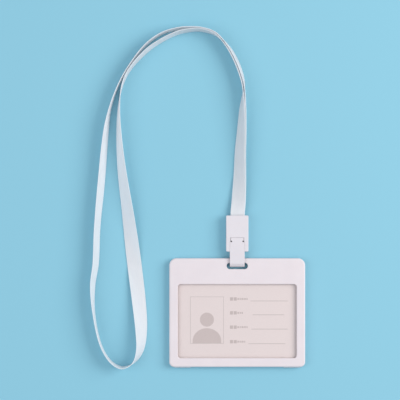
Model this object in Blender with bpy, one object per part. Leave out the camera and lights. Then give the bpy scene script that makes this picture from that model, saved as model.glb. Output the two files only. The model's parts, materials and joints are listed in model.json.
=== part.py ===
"""Lanyard badge holder: a neck strap, a snap clip and a hinged card case.

The object lies flat, face up. +X is to the right of the case, +Y runs from
the case towards the clip, and +Z points out of the case's face. The origin is
on the case's back face, in the middle of its header, just below the slot.
Units are metres.
"""
import math

import bmesh
import bpy
from mathutils import Vector

for leftover in list(bpy.data.objects):
    bpy.data.objects.remove(leftover, do_unlink=True)

MM = 0.001
GAP = 0.3 * MM

# ---- card case -------------------------------------------------------------
CASE_HALF_WIDTH = 47.5 * MM
CASE_TOP = 12.9 * MM
CASE_BOTTOM = -63.1 * MM
CASE_DEPTH = 5.0 * MM
TOP_CORNER_RADIUS = 5.0 * MM
BOTTOM_CORNER_RADIUS = 3.5 * MM
FACE_EDGE_RADIUS = 1.2 * MM
BACK_EDGE_RADIUS = 0.6 * MM
SEAM_LOW = 1.8 * MM
SEAM_HIGH = 2.1 * MM

WINDOW_HALF_WIDTH = 41.5 * MM
WINDOW_TOP = -5.25 * MM
WINDOW_BOTTOM = -56.85 * MM
WINDOW_CORNER_RADIUS = 2.0 * MM

CARD_WIDTH = 85.6 * MM
CARD_HEIGHT = 54.0 * MM
CARD_THICKNESS = 0.4 * MM
CARD_CORNER_RADIUS = 3.0 * MM
CARD_BOTTOM_Z = 2.2 * MM
PANE_THICKNESS = 0.5 * MM
FRONT_PANE_Z = 2.9 * MM
REAR_PANE_Z = 1.4 * MM
FRONT_LIP_Z = 3.7 * MM
REAR_LIP_Z = 1.1 * MM
POCKET_HALF_WIDTH = 44.0 * MM
POCKET_HALF_HEIGHT = 28.1 * MM
POCKET_CORNER_RADIUS = 1.0 * MM

SLOT_CENTRE_Y = 7.5 * MM
SLOT_LENGTH = 14.8 * MM
SLOT_WIDTH = 4.4 * MM
RAIL_BEVEL = 0.9 * MM
SLOT_BEVEL = 0.4 * MM
WINDOW_BEVEL = 0.5 * MM

CATCH_X = 30.0 * MM
CATCH_Y = 9.0 * MM
CATCH_LENGTH = 7.0 * MM
CATCH_WIDTH = 1.6 * MM
CATCH_TOP_Z = 3.5 * MM

HINGE_Y = -62.7 * MM
HINGE_Z = 1.95 * MM
HINGE_INNER_X = 32.55 * MM
HINGE_LENGTH = 11.2 * MM
HINGE_MIDDLE_LENGTH = 4.0 * MM
KNUCKLE_RADIUS = 0.95 * MM
PIN_RADIUS = 0.35 * MM
PIN_BORE_RADIUS = 0.45 * MM
SEAM_GROOVE_Y = 0.9 * MM
SEAM_GROOVE_Z = 0.8 * MM

# ---- snap clip -------------------------------------------------------------
CLIP_HALF_WIDTH = 7.8 * MM
CLIP_BOTTOM = 17.6 * MM
CLIP_TOP = 42.8 * MM
CLIP_BACK_Z = 0.2 * MM
CLIP_FRONT_Z = 6.6 * MM
CLIP_EDGE_RADIUS = 0.5 * MM
CLIP_CORNER_RADIUS = 0.8 * MM
CLIP_MIDDLE_Z = 0.5 * (CLIP_BACK_Z + CLIP_FRONT_Z)

LEG_HALF_WIDTH = 5.15 * MM
LEG_THICKNESS = 1.0 * MM
BEND_OUTER_RADIUS = 0.5 * (CLIP_FRONT_Z - CLIP_BACK_Z)
BEND_CENTRE_Y = 10.0 * MM
TONGUE_AXIS_Y = 10.15 * MM
TONGUE_AXIS_Z = CLIP_FRONT_Z - 0.5 * LEG_THICKNESS
TONGUE_TIP_Y = 27.3 * MM
TONGUE_SHOULDER_Y = 24.3 * MM
TONGUE_HEAD_BOTTOM_Y = 25.15 * MM
TONGUE_NECK_HALF_WIDTH = 3.6 * MM
TONGUE_HEAD_HALF_WIDTH = 4.5 * MM
TONGUE_OPEN_DEGREES = 110.0
BARB_HALF_WIDTH = 3.0 * MM
BARB_LOW_Y = 25.5 * MM
BARB_HIGH_Y = 26.8 * MM
BARB_BOTTOM_Z = 4.9 * MM

THROAT_HALF_WIDTH = 5.3 * MM
THROAT_BOTTOM = 28.6 * MM
THROAT_HALF_DEPTH = 1.25 * MM
TOOTH_HEIGHT = 0.3 * MM
TOOTH_WIDTH = 1.0 * MM
TOOTH_PLACES_Y = (31.5 * MM, 35.0 * MM, 38.5 * MM)
PEG_RADIUS = 0.6 * MM
PEG_X = 6.55 * MM
PEG_PLACES_Y = (31.5 * MM, 39.5 * MM)
PEG_TOP_Z = 5.2 * MM

# ---- neck strap ------------------------------------------------------------
STRAP_WIDTH = 10.0 * MM
STRAP_THICKNESS = 0.5 * MM
LAYER_PITCH = 0.85 * MM
STRAP_STEP = 5.0 * MM
STRAP_FLEX_Y = 44.7 * MM
STRAP_CUT = 0.9 * MM
STRAP_END_BOTTOM = 29.2 * MM
STRAP_RISE_SOFTNESS = 0.6 * MM

# Plan position in mm, roll and splay in degrees of the doubled strap, from the
# clip up to the top of the arc. Roll 0 lies flat and face up; at 90 the strap
# stands on edge with its face to the left of the way it runs. Splay leans each
# of the two layers away from the other about its edge on the table.
DOUBLED_STRAND = (
    (0.4, 45.6, 2, 0.0),
    (0.9, 50.8, 12, 0.0),
    (1.4, 59.2, 23, 0.0),
    (1.9, 72.0, 37, 0.0),
    (2.2, 86.0, 45, 0.0),
    (3.1, 101.2, 56, 0.0),
    (3.9, 118.0, 71, 0.5),
    (4.6, 131.5, 93, 1.5),
    (3.3, 140.0, 101, 1.5),
    (-1.0, 151.5, 103, 1.5),
    (-6.8, 161.3, 99, 1.0),
    (-15.3, 169.6, 88, 0.5),
    (-25.1, 172.8, 83, 0.0),
)

# The same for the single strap: inner side of the arc, middle strand, the
# bight at the bottom, left strand, outer side of the arc.
SINGLE_STRAND = (
    (-33.0, 172.2, 82),
    (-41.5, 170.4, 81),
    (-52.6, 165.2, 81),
    (-63.6, 157.5, 80),
    (-74.9, 145.0, 84),
    (-80.2, 133.9, 88),
    (-82.6, 119.0, 99),
    (-82.7, 101.2, 111),
    (-80.8, 76.0, 127),
    (-76.2, 42.4, 148),
    (-71.3, 3.0, 184),
    (-68.9, -16.4, 197),
    (-67.1, -37.0, 218),
    (-68.0, -51.5, 241),
    (-72.7, -60.4, 264),
    (-80.8, -63.5, 274),
    (-89.1, -58.5, 272),
    (-95.9, -45.9, 272),
    (-100.2, -24.8, 275),
    (-100.9, -6.0, 286),
    (-98.8, 9.5, 291),
    (-97.8, 34.0, 291),
    (-94.8, 67.4, 295),
    (-91.7, 101.1, 287),
    (-88.7, 117.9, 275),
    (-82.8, 134.2, 271),
    (-75.0, 147.7, 273),
    (-64.1, 161.6, 274),
    (-52.9, 169.7, 274),
    (-41.4, 173.1, 276),
    (-33.1, 173.7, 277),
)

WHITE_PLASTIC = ((0.86, 0.85, 0.87, 1.0), 0.38, 0.0)
WHITE_WEBBING = ((0.84, 0.83, 0.86, 1.0), 0.78, 0.0)
CLEAR_PLASTIC = ((0.95, 0.97, 0.98, 0.2), 0.08, 0.0)
PALE_CARD = ((0.80, 0.73, 0.70, 1.0), 0.70, 0.0)
BRIGHT_STEEL = ((0.62, 0.62, 0.63, 1.0), 0.28, 1.0)


# ---- building blocks -------------------------------------------------------
def finish(name, bm, look, smooth_angle=None):
    """Turn a bmesh into a named object that has a material of its own."""
    bmesh.ops.recalc_face_normals(bm, faces=bm.faces)
    mesh = bpy.data.meshes.new(name)
    bm.to_mesh(mesh)
    bm.free()
    colour, roughness, metallic = look
    material = bpy.data.materials.new(name)
    material.use_nodes = True
    shader = material.node_tree.nodes["Principled BSDF"]
    shader.inputs["Base Color"].default_value = colour[:3] + (1.0,)
    shader.inputs["Alpha"].default_value = colour[3]
    shader.inputs["Roughness"].default_value = roughness
    shader.inputs["Metallic"].default_value = metallic
    mesh.materials.append(material)
    if smooth_angle is not None:
        mesh.shade_smooth()
        mesh.set_sharp_from_angle(angle=math.radians(smooth_angle))
    made = bpy.data.objects.new(name, mesh)
    bpy.context.scene.collection.objects.link(made)
    return made


def skin(loops):
    """Close a row of equal loops of points into one body."""
    bm = bmesh.new()
    rings = [[bm.verts.new(point) for point in loop] for loop in loops]
    for low, high in zip(rings, rings[1:]):
        for i, corner in enumerate(low):
            j = (i + 1) % len(low)
            bm.faces.new((corner, low[j], high[j], high[i]))
    bm.faces.new(list(reversed(rings[0])))
    bm.faces.new(rings[-1])
    return bm


def stack(layers):
    """Skin flat outlines, each given with its height, from the lowest up."""
    return skin([[(x, y, z) for x, y in outline] for outline, z in layers])


def bar(profile, left, right):
    """Extrude a (y, z) profile along X."""
    return skin([[(x, y, z) for y, z in profile] for x in (left, right)])


def rounded_rectangle(left, right, bottom, top, bottom_radius, top_radius, steps=6):
    """Outline with round corners, counter-clockwise from the right side."""
    corners = (
        (right - top_radius, top - top_radius, top_radius, 0.0),
        (left + top_radius, top - top_radius, top_radius, 90.0),
        (left + bottom_radius, bottom + bottom_radius, bottom_radius, 180.0),
        (right - bottom_radius, bottom + bottom_radius, bottom_radius, 270.0),
    )
    outline = []
    for x, y, radius, start in corners:
        outline += arc(x, y, radius, start, start + 90.0, steps)
    return outline


def arc(x, y, radius, start, end, steps):
    """Points from angle start to angle end, in degrees, both included."""
    points = []
    for step in range(steps + 1):
        angle = math.radians(start + (end - start) * step / steps)
        points.append((x + radius * math.cos(angle), y + radius * math.sin(angle)))
    return points


def circle(x, y, radius, sides=16):
    """Closed round outline."""
    return arc(x, y, radius, 0.0, 360.0, sides)[:-1]


def box(left, right, bottom, top, low, high):
    """Bmesh of a plain block."""
    outline = ((left, bottom), (right, bottom), (right, top), (left, top))
    return stack(((outline, low), (outline, high)))


def combine(target, tool_mesh, operation="DIFFERENCE"):
    """Cut a shape out of an object, or join one to it, and keep one closed mesh."""
    tool = finish("tool", tool_mesh, WHITE_PLASTIC)
    modifier = target.modifiers.new("combine", "BOOLEAN")
    modifier.operation = operation
    modifier.object = tool
    graph = bpy.context.evaluated_depsgraph_get()
    result = bpy.data.meshes.new_from_object(target.evaluated_get(graph))
    target.modifiers.clear()
    spent = target.data
    target.data = result
    bpy.data.meshes.remove(spent)
    result.name = target.name
    spare_mesh = tool.data
    spare_material = spare_mesh.materials[0]
    bpy.data.objects.remove(tool, do_unlink=True)
    bpy.data.meshes.remove(spare_mesh)
    bpy.data.materials.remove(spare_material)


# ---- card case -------------------------------------------------------------
def case_outline(inset):
    """Outer edge of the case, moved inwards by inset."""
    return rounded_rectangle(
        -CASE_HALF_WIDTH + inset, CASE_HALF_WIDTH - inset,
        CASE_BOTTOM + inset, CASE_TOP - inset,
        BOTTOM_CORNER_RADIUS - inset, TOP_CORNER_RADIUS - inset)


def rounded_layers(outline_at, seam_z, face_z, radius, steps=3):
    """Outlines from a seam to a face whose outer edge is rounded."""
    outward = 1.0 if face_z > seam_z else -1.0
    layers = [(outline_at(0.0), seam_z)]
    for step in range(steps + 1):
        angle = math.radians(90.0 * step / steps)
        inset = radius * (1.0 - math.cos(angle))
        z = face_z - outward * radius * (1.0 - math.sin(angle))
        layers.append((outline_at(inset), z))
    if outward < 0.0:
        layers.reverse()
    return layers


def bevelled_hole(outline_at, low, high, bevel):
    """Cutter for a hole through a plate from low to high, with both its mouths bevelled."""
    over = 0.5 * MM
    wide = outline_at(bevel + over)
    plain = outline_at(0.0)
    return stack((
        (wide, low - over), (plain, low + bevel), (plain, high - bevel), (wide, high + over)))


def window_outline(grow):
    """Edge of the window opening, moved outwards by grow."""
    return rounded_rectangle(
        -WINDOW_HALF_WIDTH - grow, WINDOW_HALF_WIDTH + grow,
        WINDOW_BOTTOM - grow, WINDOW_TOP + grow,
        WINDOW_CORNER_RADIUS + grow, WINDOW_CORNER_RADIUS + grow, 4)


def window_fill(half_width, half_height, radius, low, high):
    """Rounded plate centred behind the window."""
    middle = 0.5 * (WINDOW_TOP + WINDOW_BOTTOM)
    outline = rounded_rectangle(
        -half_width, half_width, middle - half_height, middle + half_height,
        radius, radius, 4)
    return stack(((outline, low), (outline, high)))


def slot_outline(grow):
    """Edge of the slot, which has round ends, moved outwards by grow."""
    reach = 0.5 * (SLOT_LENGTH - SLOT_WIDTH)
    radius = 0.5 * SLOT_WIDTH + grow
    outline = arc(reach, SLOT_CENTRE_Y, radius, -90.0, 90.0, 8)
    return outline + arc(-reach, SLOT_CENTRE_Y, radius, 90.0, 270.0, 8)


def seam_groove(side):
    """Wedge that opens the seam along the bottom edge; side is 1 above it, -1 below."""
    seam = SEAM_HIGH if side > 0 else SEAM_LOW
    outside = CASE_BOTTOM - 2.0 * MM
    over = 0.5 * MM
    slope = SEAM_GROOVE_Z / SEAM_GROOVE_Y
    profile = [
        (CASE_BOTTOM + SEAM_GROOVE_Y + over / slope, seam - side * over),
        (outside, seam - side * over),
        (outside, seam + side * (SEAM_GROOVE_Z + slope * 2.0 * MM)),
    ]
    return bar(profile, -CASE_HALF_WIDTH - MM, CASE_HALF_WIDTH + MM)


def knuckle_spans(side):
    """Left and right ends of the three knuckles of one hinge; side is 1 or -1."""
    outer = 0.5 * (HINGE_LENGTH - HINGE_MIDDLE_LENGTH - 2.0 * GAP)
    starts = (0.0, outer + GAP, outer + HINGE_MIDDLE_LENGTH + 2.0 * GAP)
    lengths = (outer, HINGE_MIDDLE_LENGTH, outer)
    spans = []
    for start, length in zip(starts, lengths):
        near = side * (HINGE_INNER_X + start)
        far = side * (HINGE_INNER_X + start + length)
        spans.append((min(near, far), max(near, far)))
    return spans


def round_bar(radius, left, right, sides=16):
    """Round bar on the case hinge's axis."""
    return bar(circle(HINGE_Y, HINGE_Z, radius, sides), left, right)


def add_knuckles(half, own, other):
    """Give one half of the case its knuckles, and room for the other half's."""
    for side in (1, -1):
        spans = knuckle_spans(side)
        for index in other:
            left, right = spans[index]
            combine(half, round_bar(KNUCKLE_RADIUS + GAP, left - GAP, right + GAP))
        for index in own:
            left, right = spans[index]
            combine(half, round_bar(KNUCKLE_RADIUS, left, right), "UNION")
        ends = [x for span in spans for x in span]
        combine(half, round_bar(PIN_BORE_RADIUS, min(ends) - MM, max(ends) + MM))


def catch_block(side, clearance, low, high):
    """Catch near the top edge, or the pocket it clicks into."""
    return box(
        side * CATCH_X - 0.5 * CATCH_LENGTH - clearance,
        side * CATCH_X + 0.5 * CATCH_LENGTH + clearance,
        CATCH_Y - clearance, CATCH_Y + CATCH_WIDTH + clearance, low, high)


def make_front_frame():
    """Face half of the case: bezel, header with the slot, outer knuckles."""
    layers = rounded_layers(case_outline, SEAM_HIGH, CASE_DEPTH, FACE_EDGE_RADIUS)
    frame = finish("front_frame", stack(layers), WHITE_PLASTIC)
    combine(frame, bevelled_hole(window_outline, SEAM_HIGH, CASE_DEPTH, WINDOW_BEVEL))
    combine(frame, window_fill(
        POCKET_HALF_WIDTH, POCKET_HALF_HEIGHT, POCKET_CORNER_RADIUS, SEAM_HIGH - MM, FRONT_LIP_Z))
    combine(frame, bevelled_hole(slot_outline, SEAM_HIGH, CASE_DEPTH, SLOT_BEVEL))
    for side in (1, -1):
        combine(frame, catch_block(side, GAP, SEAM_HIGH - MM, CATCH_TOP_Z + GAP))
    combine(frame, rail_relief())
    combine(frame, seam_groove(1))
    add_knuckles(frame, own=(0, 2), other=(1,))
    return frame


def rail_relief():
    """Bevel under the rail's top edge, so that the clip's loop can turn round it."""
    over = 0.5 * MM
    profile = [
        (CASE_TOP - RAIL_BEVEL - over, SEAM_HIGH - over),
        (CASE_TOP + over, SEAM_HIGH - over),
        (CASE_TOP + over, SEAM_HIGH + RAIL_BEVEL + over),
    ]
    return bar(profile, -0.5 * SLOT_LENGTH, 0.5 * SLOT_LENGTH)


def make_rear_frame():
    """Back half of the case, which swings open as a door on the bottom edge."""
    layers = rounded_layers(case_outline, SEAM_LOW, 0.0, BACK_EDGE_RADIUS, 2)
    frame = finish("rear_frame", stack(layers), WHITE_PLASTIC)
    combine(frame, bevelled_hole(window_outline, 0.0, SEAM_LOW, WINDOW_BEVEL))
    combine(frame, window_fill(
        POCKET_HALF_WIDTH, POCKET_HALF_HEIGHT, POCKET_CORNER_RADIUS, REAR_LIP_Z, SEAM_LOW + MM))
    combine(frame, bevelled_hole(slot_outline, 0.0, SEAM_LOW, SLOT_BEVEL))
    half_notch = 0.5 * SLOT_LENGTH
    combine(frame, box(-half_notch, half_notch, SLOT_CENTRE_Y, CASE_TOP + MM, -MM, SEAM_LOW + MM))
    for side in (1, -1):
        combine(frame, catch_block(side, 0.0, SEAM_LOW - 0.5 * MM, CATCH_TOP_Z), "UNION")
    combine(frame, seam_groove(-1))
    add_knuckles(frame, own=(1,), other=(0, 2))
    return frame


def make_pane(name, low):
    """Clear window pane."""
    return finish(name, window_fill(
        POCKET_HALF_WIDTH - GAP, POCKET_HALF_HEIGHT - GAP, POCKET_CORNER_RADIUS,
        low, low + PANE_THICKNESS), CLEAR_PLASTIC)


def make_insert_card():
    """Blank identity card between the two panes."""
    return finish("insert_card", window_fill(
        0.5 * CARD_WIDTH, 0.5 * CARD_HEIGHT, CARD_CORNER_RADIUS,
        CARD_BOTTOM_Z, CARD_BOTTOM_Z + CARD_THICKNESS), PALE_CARD)


def make_hinge_pin(name, side):
    """Steel pin through one hinge's three knuckles."""
    ends = [x for span in knuckle_spans(side) for x in span]
    pin = round_bar(PIN_RADIUS, min(ends) + GAP, max(ends) - GAP, 12)
    return finish(name, pin, BRIGHT_STEEL, 40.0)


# ---- snap clip -------------------------------------------------------------
def clip_outline(inset):
    """Edge of the clip's body, moved inwards by inset."""
    radius = max(CLIP_CORNER_RADIUS - inset, 0.1 * MM)
    return rounded_rectangle(
        -CLIP_HALF_WIDTH + inset, CLIP_HALF_WIDTH - inset,
        CLIP_BOTTOM + inset, CLIP_TOP - inset, radius, radius, 3)


def throat_block():
    """Space between the shells for the two strap ends."""
    return box(
        -THROAT_HALF_WIDTH, THROAT_HALF_WIDTH, THROAT_BOTTOM, CLIP_TOP + MM,
        CLIP_MIDDLE_Z - THROAT_HALF_DEPTH, CLIP_MIDDLE_Z + THROAT_HALF_DEPTH)


def tooth(y, side):
    """Ridge across the throat that grips the strap; side is 1 on the front shell."""
    root = CLIP_MIDDLE_Z + side * (THROAT_HALF_DEPTH + 0.2 * MM)
    tip = CLIP_MIDDLE_Z + side * (THROAT_HALF_DEPTH - TOOTH_HEIGHT)
    profile = [(y - 0.5 * TOOTH_WIDTH, root), (y + 0.5 * TOOTH_WIDTH, root), (y, tip)]
    return bar(profile, -THROAT_HALF_WIDTH - 0.2 * MM, THROAT_HALF_WIDTH + 0.2 * MM)


def peg(x, y, radius, low, high):
    """Round peg between the shells, or its socket."""
    outline = circle(x, y, radius, 12)
    return stack(((outline, low), (outline, high)))


def make_clip_front_shell():
    """Front half of the clip, with the channel for the tongue and its catch pocket."""
    seam = CLIP_MIDDLE_Z + 0.5 * GAP
    layers = rounded_layers(clip_outline, seam, CLIP_FRONT_Z, CLIP_EDGE_RADIUS)
    shell = finish("clip_front_shell", stack(layers), WHITE_PLASTIC)
    combine(shell, throat_block())
    channel = LEG_HALF_WIDTH + GAP
    floor = CLIP_FRONT_Z - LEG_THICKNESS - GAP
    channel_top = TONGUE_SHOULDER_Y + GAP
    combine(shell, box(
        -channel, channel, CLIP_BOTTOM - MM, channel_top, floor, CLIP_FRONT_Z + MM))
    head_room = TONGUE_HEAD_HALF_WIDTH + GAP
    combine(shell, box(
        -head_room, head_room, channel_top - MM, TONGUE_TIP_Y + GAP, floor, CLIP_FRONT_Z + MM))
    combine(shell, box(
        -head_room, head_room, TONGUE_SHOULDER_Y,
        BARB_HIGH_Y + GAP, BARB_BOTTOM_Z - GAP, floor + 0.1 * MM))
    for y in TOOTH_PLACES_Y:
        combine(shell, tooth(y, 1), "UNION")
    for x in (PEG_X, -PEG_X):
        for y in PEG_PLACES_Y:
            combine(shell, peg(x, y, PEG_RADIUS + GAP, seam - MM, PEG_TOP_Z + GAP))
    return shell


def hook_profile():
    """Side view of the loop: the back leg, the bend, and the bend's front end."""
    inner = BEND_OUTER_RADIUS - LEG_THICKNESS
    over = 0.3 * MM
    outside = arc(BEND_CENTRE_Y, CLIP_MIDDLE_Z, BEND_OUTER_RADIUS, 270.0, 90.0, 14)
    inside = arc(BEND_CENTRE_Y, CLIP_MIDDLE_Z, inner, 90.0, 270.0, 14)
    root = CLIP_BOTTOM + CLIP_EDGE_RADIUS + over
    return ([(root, CLIP_BACK_Z)] + outside + inside + [(root, CLIP_BACK_Z + LEG_THICKNESS)])


def tongue_relief():
    """Cutter that clears the bend's front end from the tongue's face when it is fully open."""
    tilt = math.radians(TONGUE_OPEN_DEGREES)
    room = 0.5 * LEG_THICKNESS + GAP
    reach = 2.0 * LEG_THICKNESS
    profile = []
    for out, along in ((0.0, 0.0), (room, 0.0), (room, reach), (0.0, reach)):
        profile.append((
            TONGUE_AXIS_Y + along * math.cos(tilt) - out * math.sin(tilt),
            TONGUE_AXIS_Z + along * math.sin(tilt) + out * math.cos(tilt)))
    return bar(profile, -LEG_HALF_WIDTH - MM, LEG_HALF_WIDTH + MM)


def make_clip_rear_shell():
    """Back half of the clip, in one piece with the loop that goes through the slot."""
    seam = CLIP_MIDDLE_Z - 0.5 * GAP
    layers = rounded_layers(clip_outline, seam, CLIP_BACK_Z, CLIP_EDGE_RADIUS)
    shell = finish("clip_rear_shell", stack(layers), WHITE_PLASTIC)
    combine(shell, throat_block())
    combine(shell, bar(hook_profile(), -LEG_HALF_WIDTH, LEG_HALF_WIDTH), "UNION")
    barrel_room = 0.5 * LEG_THICKNESS + GAP
    combine(shell, bar(
        circle(TONGUE_AXIS_Y, TONGUE_AXIS_Z, barrel_room), -LEG_HALF_WIDTH - MM, LEG_HALF_WIDTH + MM))
    combine(shell, tongue_relief())
    for y in TOOTH_PLACES_Y:
        combine(shell, tooth(y, -1), "UNION")
    for x in (PEG_X, -PEG_X):
        for y in PEG_PLACES_Y:
            combine(shell, peg(x, y, PEG_RADIUS, seam - 0.5 * MM, PEG_TOP_Z), "UNION")
    return shell


def make_snap_tongue():
    """Front leg of the loop, which opens to let the case's rail in."""
    half = 0.5 * LEG_THICKNESS
    profile = arc(TONGUE_AXIS_Y, TONGUE_AXIS_Z, half, 90.0, 270.0, 8)
    profile += [(TONGUE_TIP_Y, TONGUE_AXIS_Z - half), (TONGUE_TIP_Y, TONGUE_AXIS_Z + half)]
    tongue = finish("snap_tongue", bar(profile, -LEG_HALF_WIDTH, LEG_HALF_WIDTH), WHITE_PLASTIC)
    under = TONGUE_AXIS_Z - half
    root = under + 0.2 * MM
    barb = [(BARB_LOW_Y, root), (BARB_LOW_Y, BARB_BOTTOM_Z), (BARB_HIGH_Y, root)]
    combine(tongue, bar(barb, -BARB_HALF_WIDTH, BARB_HALF_WIDTH), "UNION")
    above = CLIP_FRONT_Z + MM
    for side in (1, -1):
        outer = side * (LEG_HALF_WIDTH + MM)
        neck = side * TONGUE_NECK_HALF_WIDTH
        head = side * TONGUE_HEAD_HALF_WIDTH
        combine(tongue, box(
            min(neck, outer), max(neck, outer), TONGUE_SHOULDER_Y, TONGUE_HEAD_BOTTOM_Y,
            under - MM, above))
        combine(tongue, box(
            min(head, outer), max(head, outer), TONGUE_SHOULDER_Y, TONGUE_TIP_Y + MM,
            under - MM, above))
    return tongue


def make_strap_end(name, z):
    """Clamped end of the webbing, inside the clip's throat."""
    half = 0.5 * STRAP_THICKNESS
    end = box(
        -0.5 * STRAP_WIDTH, 0.5 * STRAP_WIDTH,
        STRAP_END_BOTTOM, STRAP_FLEX_Y - STRAP_CUT, z - half, z + half)
    return finish(name, end, WHITE_WEBBING)


# ---- neck strap ------------------------------------------------------------
def smooth_path(points, spacing):
    """Samples of a smooth curve through points, which are equal tuples (x, y, ...)."""
    travelled = [0.0]
    for here, there in zip(points, points[1:]):
        step = math.hypot(there[0] - here[0], there[1] - here[1])
        travelled.append(travelled[-1] + step)
    last = len(points) - 1
    slopes = []
    for i in range(last + 1):
        before = max(i - 1, 0)
        after = min(i + 1, last)
        span = travelled[after] - travelled[before]
        slopes.append([(q - p) / span for p, q in zip(points[before], points[after])])
    samples = []
    for i in range(last):
        span = travelled[i + 1] - travelled[i]
        count = max(1, round(span / spacing))
        for k in range(count):
            u = k / count
            from_here = 2.0 * u ** 3 - 3.0 * u ** 2 + 1.0
            leave = (u ** 3 - 2.0 * u ** 2 + u) * span
            arrive = (u ** 3 - u ** 2) * span
            samples.append(tuple(
                from_here * p + (1.0 - from_here) * q + leave * a + arrive * b
                for p, q, a, b in zip(points[i], points[i + 1], slopes[i], slopes[i + 1])))
    samples.append(tuple(points[-1]))
    return samples


def in_metres(points):
    """Control points with their plan position in metres."""
    return [(x * MM, y * MM, *(float(angle) for angle in angles)) for x, y, *angles in points]


def left_of(samples, i):
    """Level unit vector to the left of the way the strap runs at sample i."""
    before = samples[max(i - 1, 0)]
    after = samples[min(i + 1, len(samples) - 1)]
    along = Vector((after[0] - before[0], after[1] - before[1], 0.0)).normalized()
    return Vector((-along.y, along.x, 0.0))


def across_and_out(left, roll):
    """Unit vectors of a strap with a roll: across it to its left edge, and out of its face."""
    up = Vector((0.0, 0.0, 1.0))
    tilt = math.radians(roll)
    across = math.cos(tilt) * left - math.sin(tilt) * up
    return across, math.cos(tilt) * up + math.sin(tilt) * left


def resting_height(roll, thickness):
    """Height of the middle of a strap whose lower edge is on the table."""
    tilt = math.radians(roll)
    return 0.5 * STRAP_WIDTH * abs(math.sin(tilt)) + 0.5 * thickness * abs(math.cos(tilt))


def doubled_height(roll):
    """Height of the middle of the doubled strap, which the clip holds up."""
    resting = resting_height(roll, LAYER_PITCH + STRAP_THICKNESS)
    apart = resting - CLIP_MIDDLE_Z
    return 0.5 * (resting + CLIP_MIDDLE_Z + math.hypot(apart, STRAP_RISE_SOFTNESS)
                  - STRAP_RISE_SOFTNESS)


def leaning_layer(foot, left, roll):
    """Centre of one layer of the doubled strap that leans about the middle of its foot."""
    centre = foot - 0.5 * STRAP_WIDTH * across_and_out(left, roll)[0]
    centre.z = max(centre.z, resting_height(roll, STRAP_THICKNESS))
    return centre


def strap_stations():
    """Centre, left vector and roll of each cross-section of the whole strap."""
    doubled = smooth_path(in_metres(DOUBLED_STRAND), STRAP_STEP)
    upper = []
    lower = []
    for i, (x, y, roll, splay) in enumerate(doubled):
        left = left_of(doubled, i)
        across, out = across_and_out(left, roll)
        foot = Vector((x, y, doubled_height(roll))) + 0.5 * STRAP_WIDTH * across
        apart = 0.5 * LAYER_PITCH * out
        upper.append((leaning_layer(foot + apart, left, roll + splay), left, roll + splay))
        lower.append((
            leaning_layer(foot - apart, left, roll - splay), -left, 360.0 - roll + splay))
    lower.reverse()

    ends = [(centre.x, centre.y, roll) for centre, left, roll in (upper[-2], upper[-1])]
    starts = [(centre.x, centre.y, roll) for centre, left, roll in (lower[0], lower[1])]
    single = smooth_path(ends + in_metres(SINGLE_STRAND) + starts, STRAP_STEP)
    first = single.index(ends[1])
    stop = single.index(starts[0])
    middle_part = []
    for i in range(first + 1, stop):
        x, y, roll = single[i]
        centre = Vector((x, y, resting_height(roll, STRAP_THICKNESS)))
        middle_part.append((centre, left_of(single, i), roll))
    return upper + middle_part + lower


def make_strap_loop():
    """The whole ribbon outside the clip, as one sweep that twists along its path."""
    loops = []
    for centre, left, roll in strap_stations():
        across, out = across_and_out(left, roll)
        side = 0.5 * STRAP_WIDTH * across
        face = 0.5 * STRAP_THICKNESS * out
        loops.append([centre + side + face, centre + side - face,
                      centre - side - face, centre - side + face])
    return finish("strap_loop", skin(loops), WHITE_WEBBING, 40.0)


# ---- assembly --------------------------------------------------------------
def hang(parent, name, point, pieces):
    """Put an empty on a joint's axis and make the pieces turn with it."""
    pivot = bpy.data.objects.new(name, None)
    pivot.empty_display_size = 5.0 * MM
    bpy.context.scene.collection.objects.link(pivot)
    point = Vector(point)
    if parent is None:
        pivot.location = point
    else:
        pivot.parent = parent
        bpy.context.view_layer.update()
        pivot.location = point - parent.matrix_world.translation
    for piece in pieces:
        for vertex in piece.data.vertices:
            vertex.co -= point
        piece.parent = pivot
    bpy.context.view_layer.update()
    return pivot


make_strap_loop()
clip_pivot = hang(None, "strap_flex_axis", (0.0, STRAP_FLEX_Y, CLIP_MIDDLE_Z), [
    make_clip_front_shell(),
    make_clip_rear_shell(),
    make_strap_end("strap_end_upper", CLIP_MIDDLE_Z + 0.5 * LAYER_PITCH),
    make_strap_end("strap_end_lower", CLIP_MIDDLE_Z - 0.5 * LAYER_PITCH),
])
hang(clip_pivot, "tongue_axis", (0.0, TONGUE_AXIS_Y, TONGUE_AXIS_Z), [make_snap_tongue()])
rail_y = 0.5 * (SLOT_CENTRE_Y + 0.5 * SLOT_WIDTH + CASE_TOP)
rail_z = 0.5 * (SEAM_HIGH + CASE_DEPTH)
case_pivot = hang(clip_pivot, "holder_swing_axis", (0.0, rail_y, rail_z), [
    make_front_frame(),
    make_pane("front_pane", FRONT_PANE_Z),
    make_insert_card(),
    make_hinge_pin("hinge_pin_right", 1),
    make_hinge_pin("hinge_pin_left", -1),
])
hang(case_pivot, "rear_door_axis", (0.0, HINGE_Y, HINGE_Z), [
    make_rear_frame(),
    make_pane("rear_pane", REAR_PANE_Z),
])
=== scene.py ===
import json
import math

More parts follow.
